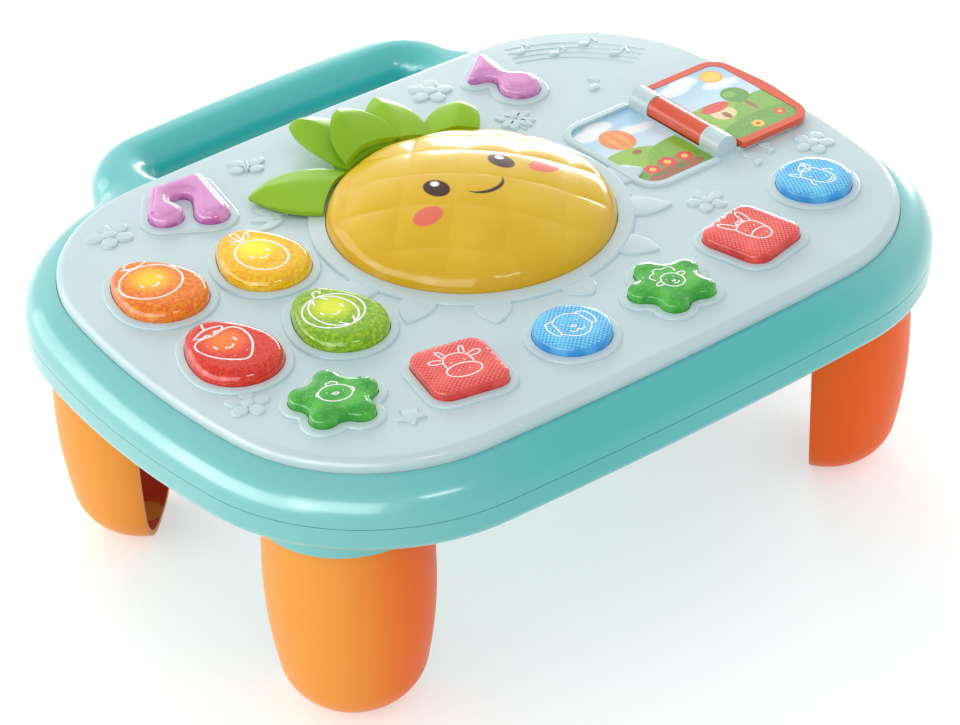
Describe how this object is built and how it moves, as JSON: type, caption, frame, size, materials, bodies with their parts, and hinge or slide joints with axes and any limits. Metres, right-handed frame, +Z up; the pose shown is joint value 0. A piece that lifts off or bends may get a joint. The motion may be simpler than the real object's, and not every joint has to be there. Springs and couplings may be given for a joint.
{
  "type": "musical activity table",
  "caption": "Toddler's musical activity table: teal rim with carry handle, pineapple dome, fruit, animal-sound and note buttons, flip book, on plug-in orange legs",
  "frame": {"origin": "on the floor under the middle of the overall bounding box", "axes": "+X to the player's right along the table's length, +Y from the player's side to the handle, +Z up"},
  "size_m": [0.412, 0.351, 0.1715],
  "materials": {
    "rim_teal": "gloss teal injection-moulded plastic",
    "panel_aqua": "pale aqua satin-gloss plastic",
    "leg_orange": "gloss orange plastic, open at the back",
    "fruit_orange": "translucent glitter plastic lit from below",
    "fruit_yellow": "translucent glitter plastic lit from below",
    "fruit_red": "translucent glitter plastic lit from below",
    "fruit_lime": "translucent glitter plastic lit from below",
    "music_purple": "translucent purple plastic",
    "round_blue": "gloss plastic with a fine pyramid texture",
    "square_red": "gloss plastic with a fine pyramid texture",
    "star_green": "gloss plastic with a fine pyramid texture",
    "dome_yellow": "translucent glossy plastic with quilted creases",
    "leaf_green": "gloss plastic",
    "book_red": "gloss plastic",
    "printed_card": "printed, clear-coated card",
    "screw_steel": "zinc-plated steel",
    "circuit_board": "glass-epoxy laminate with green solder mask",
    "pad_rubber": "silicone rubber",
    "lamp_clear": "clear epoxy lamp bodies",
    "cell_jacket": "plain jacketed cells",
    "contact_steel": "nickel-plated spring steel",
    "switch_black": "black nylon",
    "speaker_steel": "pressed steel basket and magnet",
    "cone_paper": "treated paper cone"
  },
  "bodies": {
    "casing": {"upper_casing": "rim_teal", "lower_casing": "rim_teal", "top_panel": "panel_aqua", "pineapple_leaves": "leaf_green", "picture_left": "printed_card", "picture_right": "printed_card", "hinge_pin": "screw_steel", "main_board": "circuit_board", "key_pads": "pad_rubber", "lamps": "lamp_clear", "board_screws": "screw_steel", "case_screws": "screw_steel", "battery_cells": "cell_jacket", "battery_contacts": "contact_steel", "switch_body": "switch_black", "speaker_basket": "speaker_steel", "speaker_cone": "cone_paper"},
    "button_orange": {"button_orange": "fruit_orange"},
    "button_yellow": {"button_yellow": "fruit_yellow"},
    "button_red": {"button_red": "fruit_red"},
    "button_lime": {"button_lime": "fruit_lime"},
    "button_note": {"button_note": "music_purple"},
    "button_bow": {"button_bow": "music_purple"},
    "button_chick": {"button_chick": "star_green"},
    "button_cow": {"button_cow": "square_red"},
    "button_dog": {"button_dog": "round_blue"},
    "button_sheep": {"button_sheep": "star_green"},
    "button_donkey": {"button_donkey": "square_red"},
    "button_horse": {"button_horse": "round_blue"},
    "pineapple_dome": {"pineapple_dome": "dome_yellow"},
    "book_page": {"book_page": "book_red", "page_picture_front": "printed_card", "page_picture_back": "printed_card"},
    "leg_front_left": {"leg_front_left": "leg_orange"},
    "leg_front_right": {"leg_front_right": "leg_orange"},
    "leg_back_left": {"leg_back_left": "leg_orange"},
    "leg_back_right": {"leg_back_right": "leg_orange"},
    "battery_door": {"battery_door": "rim_teal", "door_screw": "screw_steel"},
    "switch_knob": {"switch_knob": "switch_black"}
  },
  "joints": [
    {"name": "button_orange_press", "type": "slide", "parent": "casing", "child": "button_orange", "axis": [0, 0, -1], "range_m": [0, 0.002], "stiffness_N_per_m": 1500, "springref_m": -0.0005},
    {"name": "button_yellow_press", "type": "slide", "parent": "casing", "child": "button_yellow", "axis": [0, 0, -1], "range_m": [0, 0.002], "stiffness_N_per_m": 1500, "springref_m": -0.0005},
    {"name": "button_red_press", "type": "slide", "parent": "casing", "child": "button_red", "axis": [0, 0, -1], "range_m": [0, 0.002], "stiffness_N_per_m": 1500, "springref_m": -0.0005},
    {"name": "button_lime_press", "type": "slide", "parent": "casing", "child": "button_lime", "axis": [0, 0, -1], "range_m": [0, 0.002], "stiffness_N_per_m": 1500, "springref_m": -0.0005},
    {"name": "button_note_press", "type": "slide", "parent": "casing", "child": "button_note", "axis": [0, 0, -1], "range_m": [0, 0.002], "stiffness_N_per_m": 1500, "springref_m": -0.0005},
    {"name": "button_bow_press", "type": "slide", "parent": "casing", "child": "button_bow", "axis": [0, 0, -1], "range_m": [0, 0.002], "stiffness_N_per_m": 1500, "springref_m": -0.0005},
    {"name": "button_chick_press", "type": "slide", "parent": "casing", "child": "button_chick", "axis": [0, 0, -1], "range_m": [0, 0.002], "stiffness_N_per_m": 1500, "springref_m": -0.0005},
    {"name": "button_cow_press", "type": "slide", "parent": "casing", "child": "button_cow", "axis": [0, 0, -1], "range_m": [0, 0.002], "stiffness_N_per_m": 1500, "springref_m": -0.0005},
    {"name": "button_dog_press", "type": "slide", "parent": "casing", "child": "button_dog", "axis": [0, 0, -1], "range_m": [0, 0.002], "stiffness_N_per_m": 1500, "springref_m": -0.0005},
    {"name": "button_sheep_press", "type": "slide", "parent": "casing", "child": "button_sheep", "axis": [0, 0, -1], "range_m": [0, 0.002], "stiffness_N_per_m": 1500, "springref_m": -0.0005},
    {"name": "button_donkey_press", "type": "slide", "parent": "casing", "child": "button_donkey", "axis": [0, 0, -1], "range_m": [0, 0.002], "stiffness_N_per_m": 1500, "springref_m": -0.0005},
    {"name": "button_horse_press", "type": "slide", "parent": "casing", "child": "button_horse", "axis": [0, 0, -1], "range_m": [0, 0.002], "stiffness_N_per_m": 1500, "springref_m": -0.0005},
    {"name": "pineapple_dome_press", "type": "slide", "parent": "casing", "child": "pineapple_dome", "axis": [0, 0, -1], "range_m": [0, 0.002], "stiffness_N_per_m": 2500, "springref_m": -0.0006},
    {"name": "book_page_turn", "type": "hinge", "parent": "casing", "child": "book_page", "pos_m": [0.1283, -0.0155, 0.1508], "axis": [0, -1, 0], "range_deg": [0, 180]},
    {"name": "leg_front_left_plug", "type": "slide", "parent": "casing", "child": "leg_front_left", "axis": [0, 0, -1], "range_m": [0, 0.011]},
    {"name": "leg_front_right_plug", "type": "slide", "parent": "casing", "child": "leg_front_right", "axis": [0, 0, -1], "range_m": [0, 0.011]},
    {"name": "leg_back_left_plug", "type": "slide", "parent": "casing", "child": "leg_back_left", "axis": [0, 0, -1], "range_m": [0, 0.011]},
    {"name": "leg_back_right_plug", "type": "slide", "parent": "casing", "child": "leg_back_right", "axis": [0, 0, -1], "range_m": [0, 0.011]},
    {"name": "battery_door_out", "type": "slide", "parent": "casing", "child": "battery_door", "axis": [0, 0, -1], "range_m": [0, 0.012]},
    {"name": "power_switch", "type": "slide", "parent": "casing", "child": "switch_knob", "axis": [1, 0, 0], "range_m": [0, 0.006]}
  ]
}
